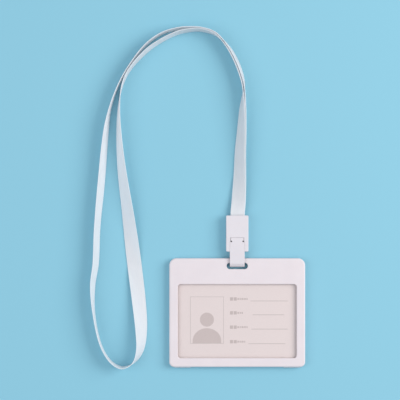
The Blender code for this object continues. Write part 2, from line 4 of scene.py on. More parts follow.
import bmesh
import bpy
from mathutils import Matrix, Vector


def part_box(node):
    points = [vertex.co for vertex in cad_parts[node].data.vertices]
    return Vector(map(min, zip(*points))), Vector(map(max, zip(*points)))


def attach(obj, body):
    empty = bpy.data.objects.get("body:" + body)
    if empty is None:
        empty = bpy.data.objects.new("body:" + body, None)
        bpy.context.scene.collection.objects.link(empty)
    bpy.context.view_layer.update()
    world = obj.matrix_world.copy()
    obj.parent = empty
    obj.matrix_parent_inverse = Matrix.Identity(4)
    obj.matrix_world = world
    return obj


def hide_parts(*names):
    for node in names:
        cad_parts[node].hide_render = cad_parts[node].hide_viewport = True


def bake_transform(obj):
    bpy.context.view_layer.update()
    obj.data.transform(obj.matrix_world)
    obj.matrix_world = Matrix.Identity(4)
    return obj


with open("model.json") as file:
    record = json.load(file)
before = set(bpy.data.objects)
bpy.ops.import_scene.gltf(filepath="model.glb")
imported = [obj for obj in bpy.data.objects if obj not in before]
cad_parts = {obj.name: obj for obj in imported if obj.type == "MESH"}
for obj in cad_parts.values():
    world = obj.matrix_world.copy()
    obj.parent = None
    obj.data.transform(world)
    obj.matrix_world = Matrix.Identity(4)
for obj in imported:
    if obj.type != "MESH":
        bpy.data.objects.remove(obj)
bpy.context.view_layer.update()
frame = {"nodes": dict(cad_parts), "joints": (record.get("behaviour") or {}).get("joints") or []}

MM = 0.001

# Limits for cleaning, rounding and shading a mesh.
WELD_DISTANCE = 0.004 * MM
FLAT_DEGREES = 0.5
ROUNDED_DEGREES = 38.0
SHARP_DEGREES = 50.0
RIBBON_SHARP_DEGREES = 60.0

# ---- places read from the frame --------------------------------------------
CASE_LOW, CASE_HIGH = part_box("front_frame")
DOOR_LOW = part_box("rear_frame")[0]
CLIP_LOW, CLIP_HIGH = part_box("clip_front_shell")
HOOK_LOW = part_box("clip_rear_shell")[0]
TONGUE_LOW, TONGUE_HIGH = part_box("snap_tongue")
PANE_LOW, PANE_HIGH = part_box("front_pane")
CARD_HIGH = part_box("insert_card")[1]
END_LOW, END_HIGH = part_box("strap_end_upper")
JOINTS = {joint["name"]: Vector(joint["pos_m"]) for joint in frame["joints"]}
STRAP_FLEX = JOINTS["strap_flex"]
TONGUE_AXIS = JOINTS["tongue_open"]
HINGE_AXIS = JOINTS["rear_door_open"]

# ---- card case -------------------------------------------------------------
KNUCKLE_STAND_OUT = 0.55 * MM
CASE_HALF_WIDTH = CASE_HIGH.x
CASE_TOP = CASE_HIGH.y
CASE_BOTTOM = CASE_LOW.y + KNUCKLE_STAND_OUT
CASE_FACE = CASE_HIGH.z
TOP_CORNER = 5.0 * MM
BOTTOM_CORNER = 3.5 * MM
FACE_EDGE = 1.2 * MM
BACK_EDGE = 0.6 * MM
SEAM_LOW = 1.85 * MM
SEAM_HIGH = 2.05 * MM
CASE_ROUNDING = 0.10 * MM

POCKET_GAP = 0.3 * MM
LIP_UNDERSIDE = 3.7 * MM
BACK_LIP = 1.1 * MM
WINDOW_INSET_SIDE = PANE_HIGH.x - 41.5 * MM
WINDOW_LEFT = PANE_LOW.x + WINDOW_INSET_SIDE
WINDOW_RIGHT = PANE_HIGH.x - WINDOW_INSET_SIDE
WINDOW_TOP = PANE_HIGH.y - 2.0 * MM
WINDOW_BOTTOM = PANE_LOW.y + 2.0 * MM
WINDOW_CORNER = 2.0 * MM
WINDOW_FACE_EDGE = 0.6 * MM
WINDOW_BACK_EDGE = 0.25 * MM

SLOT_Y = 7.5 * MM
SLOT_LENGTH = 14.8 * MM
SLOT_WIDTH = 4.4 * MM
SLOT_FACE_EDGE = 0.4 * MM
SLOT_BACK_EDGE = 0.3 * MM
CATCH_X = 30.0 * MM
CATCH_LENGTH = 7.0 * MM
CATCH_WIDTH = 1.6 * MM
CATCH_Y = 9.0 * MM
CATCH_TOP = 3.5 * MM
CATCH_CLEARANCE = 0.3 * MM

HINGE_INNER_X = 32.55 * MM
KNUCKLES = ((0.0, 3.3 * MM), (3.6 * MM, 7.6 * MM), (7.9 * MM, 11.2 * MM))
KNUCKLE_RADIUS = 0.95 * MM
KNUCKLE_CLEARANCE = 0.25 * MM
PIN_BORE = 0.42 * MM

# ---- print on the card -----------------------------------------------------
PRINT_THICKNESS = 0.03 * MM
PORTRAIT_MIDDLE_X = -21.15 * MM
PORTRAIT_HALF_WIDTH = 11.75 * MM
PORTRAIT_BOTTOM = -46.9 * MM
PORTRAIT_TOP = -14.0 * MM
PORTRAIT_LINE = 0.3 * MM
PORTRAIT_GAP = 0.01 * MM
HEAD_Y = -30.1 * MM
HEAD_RADIUS = 4.9 * MM
SHOULDERS_TOP = -36.1 * MM
SHOULDERS_HALF_WIDTH = 10.0 * MM
SHOULDERS_RISE = 9.0 * MM

# The form's rows are in mm: height, end of the dashes, start and end of the rule.
FORM_ROWS = (
    (-16.3, 7.9, 9.4, 35.4),
    (-26.0, 4.0, 10.8, 32.9),
    (-36.0, 7.4, 9.9, 35.4),
    (-46.2, 5.6, 7.9, 33.7),
)
ROW_START = -5.0
ROW_BLOCKS = 2
BLOCK_WIDTH = 2.1
BLOCK_LOW = -0.5
BLOCK_HIGH = 1.8
DASH_WIDTHS = (1.1, 0.8, 1.3)
DASH_HIGH = 1.3
DASH_GAP = 0.5
SHORTEST_DASH = 0.4
RULE_LOW = -0.95
RULE_HIGH = -0.5

# ---- clip ------------------------------------------------------------------
CLIP_MIDDLE_Z = STRAP_FLEX.z
CLIP_FRONT_Z = CLIP_HIGH.z
CLIP_BACK_Z = HOOK_LOW.z
CLIP_CORNER = 0.8 * MM
CLIP_EDGE = 0.5 * MM
CLIP_ROUNDING = 0.08 * MM
SHELL_HALF_GAP = 0.04 * MM
LEG_HALF_WIDTH = TONGUE_HIGH.x
LEG_THICKNESS = 1.0 * MM
LEG_RISE = 0.02 * MM
BEND_RADIUS = 0.5 * (CLIP_FRONT_Z - CLIP_BACK_Z)
BEND_Y = HOOK_LOW.y + BEND_RADIUS
BEND_SEAM_DEGREES = 24.0
BEND_SEAM_FIT_DEGREES = 1.0
LIVING_HINGE_REACH = 1.0 * MM
LIVING_HINGE_RINGS = 14
HEAD_HALF_WIDTH = 4.5 * MM
NECK_HALF_WIDTH = 3.6 * MM
SHOULDER_Y = 24.3 * MM
HEAD_BOTTOM = 25.15 * MM
TONGUE_TIP = TONGUE_HIGH.y
SLIDE_FIT = 0.06 * MM
HEAD_SIDE_FIT = 0.25 * MM
HEAD_TOP_FIT = 0.12 * MM
CHANNEL_FLOOR_FIT = 0.1 * MM
BARB_POCKET_FLOOR = 0.3 * MM
BARB_POCKET_TOP = 27.1 * MM
BARB_BOTTOM = 25.5 * MM
BARB_TOP = 26.8 * MM
BARB_HALF_WIDTH = 3.0 * MM
THROAT_HALF_WIDTH = 5.25 * MM
THROAT_HALF_DEPTH = 1.0 * MM
THROAT_BOTTOM = 28.6 * MM
TOOTH_PLACES = (31.5 * MM, 35.0 * MM, 38.5 * MM)
TOOTH_HALF_LENGTH = 0.5 * MM
TOOTH_HEIGHT = 0.25 * MM
ROOT_DEPTH = 0.2 * MM

# ---- ribbon ----------------------------------------------------------------
# The weave's pitches are in millimetres, as the ribbon's UVs are.
RIB_PITCH = 0.42
WARP_PITCH = 0.30
RIBBON_WIDTH = END_HIGH.x - END_LOW.x
RIBBON_THICKNESS = END_HIGH.z - END_LOW.z
LAYER_PITCH = 0.85 * MM
RIBBON_STEP = 1.25 * MM
RISE_SOFTNESS = 0.6 * MM
MOUTH_PIECE_END = 56.0 * MM
RIBBON_BEND_REACH = 2.4 * MM

# Plan position in mm, roll and splay in degrees of the doubled strap, from the
# clip up to the top of the arc. Roll 0 lies flat and face up; at 90 the strap
# stands on edge with its face to the left of the way it runs. Splay leans each
# of the two layers away from the other about its edge on the table.
DOUBLED_STRAND = (
    (0.4, 45.6, 2, 0.0),
    (0.9, 50.8, 12, 0.0),
    (1.4, 59.2, 23, 0.0),
    (1.9, 72.0, 37, 0.0),
    (2.2, 86.0, 45, 0.0),
    (3.1, 101.2, 56, 0.0),
    (3.9, 118.0, 71, 0.5),
    (4.6, 131.5, 93, 1.5),
    (3.3, 140.0, 101, 1.5),
    (-1.0, 151.5, 103, 1.5),
    (-6.8, 161.3, 99, 1.0),
    (-15.3, 169.6, 88, 0.5),
    (-25.1, 172.8, 83, 0.0),
)

# The same for the single strap: inner side of the arc, middle strand, the
# bight at the bottom, left strand, outer side of the arc.
SINGLE_STRAND = (
    (-33.0, 172.2, 82),
    (-41.5, 170.4, 81),
    (-52.6, 165.2, 81),
    (-63.6, 157.5, 80),
    (-74.9, 145.0, 84),
    (-80.2, 133.9, 88),
    (-82.6, 119.0, 99),
    (-82.7, 101.2, 111),
    (-80.8, 76.0, 127),
    (-76.2, 42.4, 148),
    (-71.3, 3.0, 184),
    (-68.9, -16.4, 197),
    (-67.1, -37.0, 218),
    (-68.0, -51.5, 241),
    (-72.7, -60.4, 264),
    (-80.8, -63.5, 274),
    (-89.1, -58.5, 272),
    (-95.9, -45.9, 272),
    (-100.2, -24.8, 275),
    (-100.9, -6.0, 286),
    (-98.8, 9.5, 291),
    (-97.8, 34.0, 291),
    (-94.8, 67.4, 295),
    (-91.7, 101.1, 287),
    (-88.7, 117.9, 275),
    (-82.8, 134.2, 271),
    (-75.0, 147.7, 273),
    (-64.1, 161.6, 274),
    (-52.9, 169.7, 274),
    (-41.4, 173.1, 276),
    (-33.1, 173.7, 277),
)

# ---- room ------------------------------------------------------------------
FLOOR_REACH = 4.0
FLOOR_TOP = -0.05 * MM
FLOOR_UNDERSIDE = -20.0 * MM
VIEW_WIDTH = 280.0 * MM


# ---- mesh helpers ----------------------------------------------------------
def skin(loops):
    """Close a row of equal loops of points into one body."""
    bm = bmesh.new()
    rings = [[bm.verts.new(point) for point in loop] for loop in loops]
    for low, high in zip(rings, rings[1:]):
        for i, corner in enumerate(low):
            j = (i + 1) % len(low)
            bm.faces.new((corner, low[j], high[j], high[i]))
    bm.faces.new(list(reversed(rings[0])))
    bm.faces.new(rings[-1])
    return bm


def stack(layers):
    """Skin flat outlines, each given with its height, from the lowest up."""
    return skin([[(x, y, z) for x, y in outline] for outline, z in layers])


def bar(profile, left, right):
    """Extrude a (y, z) profile along X."""
    return skin([[(x, y, z) for y, z in profile] for x in (left, right)])


def box(left, right, bottom, top, low, high):
    """Bmesh of a plain block, used as a cutter."""
    outline = ((left, bottom), (right, bottom), (right, top), (left, top))
    return stack(((outline, low), (outline, high)))


def arc(x, y, radius, start, end, steps):
    """Points from angle start to angle end, in degrees, both included."""
    points = []
    for step in range(steps + 1):
        angle = math.radians(start + (end - start) * step / steps)
        points.append((x + radius * math.cos(angle), y + radius * math.sin(angle)))
    return points


def circle(x, y, radius, sides=32):
    """Closed round outline."""
    return arc(x, y, radius, 0.0, 360.0, sides)[:-1]


def rounded_rectangle(left, right, bottom, top, bottom_radius, top_radius, steps=12):
    """Outline with round corners, counter-clockwise from the right side."""
    corners = (
        (right - top_radius, top - top_radius, top_radius, 0.0),
        (left + top_radius, top - top_radius, top_radius, 90.0),
        (left + bottom_radius, bottom + bottom_radius, bottom_radius, 180.0),
        (right - bottom_radius, bottom + bottom_radius, bottom_radius, 270.0),
    )
    outline = []
    for x, y, radius, start in corners:
        outline += arc(x, y, radius, start, start + 90.0, steps)
    return outline


def rounded_layers(outline_at, seam_z, face_z, radius, steps=6):
    """Outlines from a seam to a face whose outer edge is rounded."""
    outward = 1.0 if face_z > seam_z else -1.0
    layers = [(outline_at(0.0), seam_z)]
    for step in range(steps + 1):
        angle = math.radians(90.0 * step / steps)
        inset = radius * (1.0 - math.cos(angle))
        z = face_z - outward * radius * (1.0 - math.sin(angle))
        layers.append((outline_at(inset), z))
    if outward < 0.0:
        layers.reverse()
    return layers


def rounded_hole(outline_at, low, high, radius, steps=4):
    """Cutter for a hole from low to high with round edges at both mouths."""
    over = 0.5 * MM
    layers = [(outline_at(radius), low - over)]
    for step in range(steps + 1):
        angle = math.radians(90.0 * step / steps)
        grow = radius * (1.0 - math.sin(angle))
        layers.append((outline_at(grow), low + radius * (1.0 - math.cos(angle))))
    for step in range(steps + 1):
        angle = math.radians(90.0 * step / steps)
        grow = radius * (1.0 - math.cos(angle))
        layers.append((outline_at(grow), high - radius * (1.0 - math.sin(angle))))
    layers.append((outline_at(radius), high + over))
    return stack(layers)


def make(name, bm):
    """Turn a bmesh into a named object in the scene."""
    bmesh.ops.recalc_face_normals(bm, faces=bm.faces)
    mesh = bpy.data.meshes.new(name)
    bm.to_mesh(mesh)
    bm.free()
    made = bpy.data.objects.new(name, mesh)
    bpy.context.scene.collection.objects.link(made)
    return made


def apply_modifiers(target):
    """Replace an object's mesh with what its modifiers make of it."""
    graph = bpy.context.evaluated_depsgraph_get()
    result = bpy.data.meshes.new_from_object(target.evaluated_get(graph))
    target.modifiers.clear()
    spent = target.data
    target.data = result
    bpy.data.meshes.remove(spent)
    result.name = target.name


def combine(target, tool_mesh, operation="DIFFERENCE"):
    """Cut a shape out of an object, or join one to it, and keep one closed mesh."""
    tool = make("tool", tool_mesh)
    modifier = target.modifiers.new("combine", "BOOLEAN")
    modifier.operation = operation
    modifier.object = tool
    apply_modifiers(target)
    spare = tool.data
    bpy.data.objects.remove(tool, do_unlink=True)
    bpy.data.meshes.remove(spare)


def soften(target, width):
    """Round sharp edges where their neighbours leave room, and shade with flat faces flat."""
    merge = bmesh.new()
    merge.from_mesh(target.data)
    bmesh.ops.remove_doubles(merge, verts=merge.verts, dist=WELD_DISTANCE)
    bmesh.ops.dissolve_limit(
        merge, angle_limit=math.radians(FLAT_DEGREES), verts=merge.verts, edges=merge.edges)
    merge.to_mesh(target.data)
    merge.free()
    bevel = target.modifiers.new("bevel", "BEVEL")
    bevel.width = width
    bevel.segments = 2
    bevel.limit_method = "ANGLE"
    bevel.angle_limit = math.radians(ROUNDED_DEGREES)
    bevel.use_clamp_overlap = True
    apply_modifiers(target)
    target.data.shade_smooth()
    target.data.set_sharp_from_angle(angle=math.radians(SHARP_DEGREES))
    normals = target.modifiers.new("normals", "WEIGHTED_NORMAL")
    normals.keep_sharp = True


def add_rings(piece, low_y, high_y, count):
    """Cut rings into a piece between two places along Y, so that it can bend there."""
    bm = bmesh.new()
    bm.from_mesh(piece.data)
    for ring in range(count + 1):
        y = low_y + (high_y - low_y) * ring / count
        bmesh.ops.bisect_plane(
            bm, geom=bm.verts[:] + bm.edges[:] + bm.faces[:], dist=0.001 * MM,
            plane_co=(0.0, y, 0.0), plane_no=(0.0, 1.0, 0.0))
    bm.to_mesh(piece.data)
    bm.free()


def place(piece, body, material, replaced=(), bend=None):
    """Give a piece its material, its body and the CAD nodes it stands for.

    A piece given a bend is not put on a body; its placement is baked into its mesh instead.
    """
    piece.data.materials.clear()
    piece.data.materials.append(material)
    if bend:
        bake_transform(piece)
    else:
        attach(piece, body)
    if replaced:
        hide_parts(*replaced)
    return piece


# ---- materials -------------------------------------------------------------
class Nodes:
    """Short calls that add and join shader nodes in one new material."""

    def __init__(self, name):
        self.material = bpy.data.materials.new(name)
        self.material.use_nodes = True
        self.tree = self.material.node_tree
        self.shader = self.tree.nodes["Principled BSDF"]
        self.output = self.tree.nodes["Material Output"]

    def add(self, kind, **settings):
        node = self.tree.nodes.new(kind)
        for key, value in settings.items():
            if key in node.inputs:
                node.inputs[key].default_value = value
            else:
                setattr(node, key, value)
        return node

    def join(self, source, target):
        self.tree.links.new(source, target)

    def set(self, **values):
        for key, value in values.items():
            self.shader.inputs[key.replace("_", " ")].default_value = value

    def noise(self, scale, detail=3.0, vector=None):
        node = self.add("ShaderNodeTexNoise", Scale=scale, Detail=detail)
        place_node = vector or self.add("ShaderNodeTexCoord").outputs["Object"]
        self.join(place_node, node.inputs["Vector"])
        return node.outputs["Fac"]

    def ramp(self, source, low, high, low_value, high_value):
        node = self.add("ShaderNodeMapRange")
        node.inputs["From Min"].default_value = low
        node.inputs["From Max"].default_value = high
        node.inputs["To Min"].default_value = low_value
        node.inputs["To Max"].default_value = high_value
        self.join(source, node.inputs["Value"])
        return node.outputs["Result"]

    def math(self, operation, a, b):
        node = self.add("ShaderNodeMath", operation=operation)
        for socket, value in zip(node.inputs, (a, b)):
            if isinstance(value, (int, float)):
                socket.default_value = value
            else:
                self.join(value, socket)
        return node.outputs["Value"]

    def mix(self, factor, a, b):
        # A mix node has sockets A, B and Result once for each kind of value:
        # numbers 6, 7 and 2 are the colour ones.
        node = self.add("ShaderNodeMix", data_type="RGBA")
        self.join(factor, node.inputs["Factor"])
        node.inputs[6].default_value = a
        node.inputs[7].default_value = b
        return node.outputs[2]

    def bump(self, height, strength, distance):
        node = self.add("ShaderNodeBump", Strength=strength, Distance=distance)
        self.join(height, node.inputs["Height"])
        self.join(node.outputs["Normal"], self.shader.inputs["Normal"])
        return node


def moulded_plastic(name, colour, shade, roughness, grain):
    """White moulded plastic: faint mottling, uneven gloss and a fine moulded grain."""
    nodes = Nodes(name)
    cloud = nodes.noise(90.0, 2.0)
    nodes.join(nodes.mix(nodes.ramp(cloud, 0.35, 0.65, 0.0, 1.0), colour, shade),
               nodes.shader.inputs["Base Color"])
    gloss = nodes.noise(260.0, 4.0)
    nodes.join(nodes.ramp(gloss, 0.3, 0.7, roughness - 0.05, roughness + 0.07),
               nodes.shader.inputs["Roughness"])
    nodes.bump(nodes.noise(5200.0, 2.0), grain, 0.00004)
    nodes.set(IOR=1.5, Subsurface_Weight=0.12, Subsurface_Scale=0.6,
              Subsurface_Radius=(0.0016, 0.0014, 0.0013))
    return nodes.material


def webbing(name):
    """Woven polyester ribbon: ribs across it and warp threads along it."""
    nodes = Nodes(name)
    uv = nodes.add("ShaderNodeUVMap", uv_map="ribbon").outputs["UV"]
    split = nodes.add("ShaderNodeSeparateXYZ")
    nodes.join(uv, split.inputs["Vector"])
    across, along = split.outputs["X"], split.outputs["Y"]
    rib = nodes.math("SINE", nodes.math("MULTIPLY", along, 2.0 * math.pi / RIB_PITCH), 0.0)
    warp = nodes.math("SINE", nodes.math("MULTIPLY", across, 2.0 * math.pi / WARP_PITCH), 0.0)
    weave = nodes.math("MULTIPLY", rib, warp)
    rough_thread = nodes.noise(1.7, 3.0, uv)
    stretched = nodes.add("ShaderNodeCombineXYZ")
    nodes.join(nodes.math("MULTIPLY", across, 2.6), stretched.inputs["X"])
    nodes.join(nodes.math("MULTIPLY", along, 0.10), stretched.inputs["Y"])
    streak = nodes.noise(1.0, 3.0, stretched.outputs["Vector"])
    height = nodes.math("ADD", nodes.math("MULTIPLY", rib, 0.5), nodes.math("MULTIPLY", weave, 0.5))
    height = nodes.math("ADD", height, nodes.math("MULTIPLY", rough_thread, 0.8))
    height = nodes.math("ADD", height, nodes.math("MULTIPLY", streak, 3.0))
    nodes.bump(height, 0.55, 0.00005)
    pick = nodes.math("MULTIPLY", nodes.ramp(weave, -1.0, 1.0, 0.4, 1.0),
                      nodes.ramp(streak, 0.36, 0.60, 0.0, 1.0))
    nodes.join(nodes.mix(pick, (0.90, 0.92, 0.96, 1.0), (0.985, 0.99, 1.0, 1.0)),
               nodes.shader.inputs["Base Color"])
    nodes.join(nodes.ramp(rough_thread, 0.3, 0.7, 0.58, 0.72), nodes.shader.inputs["Roughness"])
    nodes.set(Sheen_Weight=0.15, Sheen_Roughness=0.4)
    glow = nodes.add("ShaderNodeBsdfTranslucent")
    glow.inputs["Color"].default_value = (1.0, 0.98, 0.98, 1.0)
    blend = nodes.add("ShaderNodeMixShader", Fac=0.32)
    nodes.join(nodes.shader.outputs["BSDF"], blend.inputs[1])
    nodes.join(glow.outputs["BSDF"], blend.inputs[2])
    nodes.join(blend.outputs["Shader"], nodes.output.inputs["Surface"])
    return nodes.material


def card_stock(name):
    """Pale matt card with faint paper fibre."""
    nodes = Nodes(name)
    fibre = nodes.noise(700.0, 4.0)
    nodes.join(nodes.mix(fibre, (0.792, 0.680, 0.660, 1.0), (0.832, 0.716, 0.694, 1.0)),
               nodes.shader.inputs["Base Color"])
    nodes.join(nodes.ramp(fibre, 0.3, 0.7, 0.62, 0.78), nodes.shader.inputs["Roughness"])
    nodes.bump(nodes.noise(2600.0, 3.0), 0.12, 0.00003)
    return nodes.material


def print_ink(name, light, dark):
    """Matt print on the card, slightly uneven as printed tone is."""
    nodes = Nodes(name)
    tone = nodes.noise(1500.0, 3.0)
    nodes.join(nodes.mix(tone, light, dark), nodes.shader.inputs["Base Color"])
    nodes.join(nodes.ramp(tone, 0.3, 0.7, 0.55, 0.7), nodes.shader.inputs["Roughness"])
    return nodes.material


def clear_sheet(name, haze):
    """Clear plastic sheet that lets light through, with a faint haze and a soft gloss."""
    nodes = Nodes(name)
    through = nodes.add("ShaderNodeBsdfTransparent")
    through.inputs["Color"].default_value = (0.985, 0.985, 0.985, 1.0)
    cloud = nodes.noise(60.0, 3.0)
    nodes.join(nodes.ramp(cloud, 0.3, 0.7, 0.10, 0.16), nodes.shader.inputs["Roughness"])
    nodes.set(Base_Color=(0.90, 0.90, 0.91, 1.0))
    facing = nodes.add("ShaderNodeLayerWeight", Blend=0.5).outputs["Facing"]
    glancing = nodes.math("MULTIPLY", nodes.math("POWER", facing, 4.0), 0.45)
    outside = nodes.add("ShaderNodeNewGeometry").outputs["Backfacing"]
    cover = nodes.math("ADD", glancing, haze)
    cover = nodes.math("MULTIPLY", cover, nodes.math("SUBTRACT", 1.0, outside))
    blend = nodes.add("ShaderNodeMixShader")
    nodes.join(cover, blend.inputs["Fac"])
    nodes.join(through.outputs["BSDF"], blend.inputs[1])
    nodes.join(nodes.shader.outputs["BSDF"], blend.inputs[2])
    nodes.join(blend.outputs["Shader"], nodes.output.inputs["Surface"])
    return nodes.material


def steel_wire(name):
    """Bright drawn wire with fine lengthwise scratches."""
    nodes = Nodes(name)
    scratch = nodes.noise(4000.0, 2.0)
    nodes.join(nodes.mix(scratch, (0.55, 0.55, 0.56, 1.0), (0.68, 0.68, 0.69, 1.0)),
               nodes.shader.inputs["Base Color"])
    nodes.join(nodes.ramp(scratch, 0.3, 0.7, 0.22, 0.36), nodes.shader.inputs["Roughness"])
    nodes.set(Metallic=1.0)
    return nodes.material


# ---- card case -------------------------------------------------------------
def case_outline(inset):
    """Outer edge of the case, moved inwards by inset."""
    return rounded_rectangle(
        -CASE_HALF_WIDTH + inset, CASE_HALF_WIDTH - inset,
        CASE_BOTTOM + inset, CASE_TOP - inset, BOTTOM_CORNER - inset, TOP_CORNER - inset)


def window_outline(grow):
    """Edge of the window opening, moved outwards by grow."""
    return rounded_rectangle(
        WINDOW_LEFT - grow, WINDOW_RIGHT + grow, WINDOW_BOTTOM - grow, WINDOW_TOP + grow,
        WINDOW_CORNER + grow, WINDOW_CORNER + grow, 8)


def slot_outline(grow):
    """Edge of the slot, which has round ends, moved outwards by grow."""
    reach = 0.5 * (SLOT_LENGTH - SLOT_WIDTH)
    radius = 0.5 * SLOT_WIDTH + grow
    outline = arc(reach, SLOT_Y, radius, -90.0, 90.0, 16)
    return outline + arc(-reach, SLOT_Y, radius, 90.0, 270.0, 16)


def pocket_block(low, high):
    """Room behind the window for a pane and the card."""
    outline = rounded_rectangle(
        PANE_LOW.x - POCKET_GAP, PANE_HIGH.x + POCKET_GAP,
        PANE_LOW.y - POCKET_GAP, PANE_HIGH.y + POCKET_GAP, 1.0 * MM, 1.0 * MM, 6)
    return stack(((outline, low), (outline, high)))


def round_bar(radius, left, right):
    """Round bar on the case hinge's axis."""
    return bar(circle(HINGE_AXIS.y, HINGE_AXIS.z, radius, 28), left, right)


def knuckle_ends(side, index):
    """Left and right end of one of the three knuckles of a hinge."""
    near, far = (side * (HINGE_INNER_X + x) for x in KNUCKLES[index])
    return min(near, far), max(near, far)


def add_knuckles(half, own, other):
    """Give one half of the case its knuckles, and room for the other half's."""
    for side in (1, -1):
        for index in other:
            left, right = knuckle_ends(side, index)
            combine(half, round_bar(
                KNUCKLE_RADIUS + KNUCKLE_CLEARANCE,
                left - KNUCKLE_CLEARANCE, right + KNUCKLE_CLEARANCE))
        for index in own:
            left, right = knuckle_ends(side, index)
            combine(half, round_bar(KNUCKLE_RADIUS, left, right), "UNION")
        left = min(knuckle_ends(side, index)[0] for index in range(3))
        right = max(knuckle_ends(side, index)[1] for index in range(3))
        combine(half, round_bar(PIN_BORE, left - MM, right + MM))


def seam_groove(side):
    """Wedge that opens the seam along the bottom edge; side is 1 above it, -1 below."""
    seam = SEAM_HIGH if side > 0 else SEAM_LOW
    depth_y = 0.9 * MM
    depth_z = 0.8 * MM
    over = 0.5 * MM
    reach = 2.0 * MM
    slope = depth_z / depth_y
    profile = [
        (CASE_BOTTOM + depth_y + over / slope, seam - side * over),
        (CASE_BOTTOM - reach, seam - side * over),
        (CASE_BOTTOM - reach, seam + side * (depth_z + slope * reach)),
    ]
    return bar(profile, -CASE_HALF_WIDTH - MM, CASE_HALF_WIDTH + MM)


def catch_block(side, clearance, low, high):
    """Catch near the top edge, or the pocket it clicks into."""
    return box(
        side * CATCH_X - 0.5 * CATCH_LENGTH - clearance,
        side * CATCH_X + 0.5 * CATCH_LENGTH + clearance,
        CATCH_Y - clearance, CATCH_Y + CATCH_WIDTH + clearance, low, high)


def make_case_front(material):
    """Face half of the case: bezel, header with the slot, outer knuckles."""
    layers = rounded_layers(case_outline, SEAM_HIGH, CASE_FACE, FACE_EDGE)
    half = make("case_front", stack(layers))
    combine(half, rounded_hole(window_outline, SEAM_HIGH - MM, CASE_FACE, WINDOW_FACE_EDGE))
    combine(half, pocket_block(SEAM_HIGH - MM, LIP_UNDERSIDE))
    combine(half, rounded_hole(slot_outline, SEAM_HIGH, CASE_FACE, SLOT_FACE_EDGE))
    for side in (1, -1):
        combine(half, catch_block(
            side, CATCH_CLEARANCE, SEAM_HIGH - MM, CATCH_TOP + CATCH_CLEARANCE))
    combine(half, seam_groove(1))
    add_knuckles(half, own=(0, 2), other=(1,))
    soften(half, CASE_ROUNDING)
    return place(half, "holder", material, ("front_frame",))


def make_case_back(material):
    """Back half of the case, the door that swings on the bottom edge."""
    layers = rounded_layers(case_outline, SEAM_LOW, DOOR_LOW.z, BACK_EDGE, 4)
    half = make("case_back", stack(layers))
    combine(half, rounded_hole(window_outline, DOOR_LOW.z, SEAM_LOW + MM, WINDOW_BACK_EDGE))
    combine(half, pocket_block(BACK_LIP, SEAM_LOW + MM))
    combine(half, rounded_hole(slot_outline, DOOR_LOW.z, SEAM_LOW, SLOT_BACK_EDGE))
    half_notch = 0.5 * SLOT_LENGTH
    combine(half, box(-half_notch, half_notch, SLOT_Y, CASE_TOP + MM, -MM, SEAM_LOW + MM))
    for side in (1, -1):
        combine(half, catch_block(side, 0.0, SEAM_LOW - 0.5 * MM, CATCH_TOP), "UNION")
    combine(half, seam_groove(-1))
    add_knuckles(half, own=(1,), other=(0, 2))
    soften(half, CASE_ROUNDING)
    return place(half, "rear_door", material, ("rear_frame",))


# ---- card and its print ----------------------------------------------------
def flat_print(name, outlines, material, base):
    """Thin raised print: one flat solid for each outline."""
    joined = bmesh.new()
    for outline in outlines:
        part = stack(((outline, base), (outline, base + PRINT_THICKNESS)))
        bmesh.ops.recalc_face_normals(part, faces=part.faces)
        scratch = bpy.data.meshes.new("scratch")
        part.to_mesh(scratch)
        part.free()
        joined.from_mesh(scratch)
        bpy.data.meshes.remove(scratch)
    return place(make(name, joined), "holder", material)


def rectangle(left, right, bottom, top):
    """Plain outline."""
    return [(left, bottom), (right, bottom), (right, top), (left, top)]


def print_portrait(tone, line, base):
    """Portrait frame with a plain head and shoulders in it."""
    left, right = PORTRAIT_MIDDLE_X - PORTRAIT_HALF_WIDTH, PORTRAIT_MIDDLE_X + PORTRAIT_HALF_WIDTH
    inner_low = PORTRAIT_BOTTOM + PORTRAIT_LINE
    inner_high = PORTRAIT_TOP - PORTRAIT_LINE
    flat_print("portrait_frame", (
        rectangle(left, right, inner_high, PORTRAIT_TOP),
        rectangle(left, right, PORTRAIT_BOTTOM, inner_low),
        rectangle(left, left + PORTRAIT_LINE, inner_low + PORTRAIT_GAP, inner_high - PORTRAIT_GAP),
        rectangle(right - PORTRAIT_LINE, right, inner_low + PORTRAIT_GAP, inner_high - PORTRAIT_GAP),
    ), line, base)

    head = circle(PORTRAIT_MIDDLE_X, HEAD_Y, HEAD_RADIUS, 48)
    flat_print("figure_head", (head,), tone, base)
    shoulders = [
        (PORTRAIT_MIDDLE_X - SHOULDERS_HALF_WIDTH, inner_low),
        (PORTRAIT_MIDDLE_X + SHOULDERS_HALF_WIDTH, inner_low),
    ]
    middle_y = SHOULDERS_TOP - SHOULDERS_RISE
    for degrees in range(0, 181, 6):
        angle = math.radians(degrees)
        shoulders.append((
            PORTRAIT_MIDDLE_X + SHOULDERS_HALF_WIDTH * math.cos(angle),
            middle_y + SHOULDERS_RISE * math.sin(angle)))
    flat_print("figure_shoulders", (shoulders,), tone, base)


def print_rows(label, line, base):
    """Rows of the form: blocks and dashes where words would be, then a rule."""
    labels = []
    rules = []
    for y, stop, rule_start, rule_stop in FORM_ROWS:
        x = ROW_START
        for _ in range(ROW_BLOCKS):
            labels.append(rectangle(
                x * MM, (x + BLOCK_WIDTH) * MM, (y + BLOCK_LOW) * MM, (y + BLOCK_HIGH) * MM))
            x += BLOCK_WIDTH + DASH_GAP
        dash = 0
        while x < stop - SHORTEST_DASH:
            wide = min(DASH_WIDTHS[dash % len(DASH_WIDTHS)], stop - x)
            labels.append(rectangle(x * MM, (x + wide) * MM, y * MM, (y + DASH_HIGH) * MM))
            x += wide + DASH_GAP
            dash += 1
        rules.append(rectangle(
            rule_start * MM, rule_stop * MM, (y + RULE_LOW) * MM, (y + RULE_HIGH) * MM))
    flat_print("label_dashes", labels, label, base)
    flat_print("label_rules", rules, line, base)


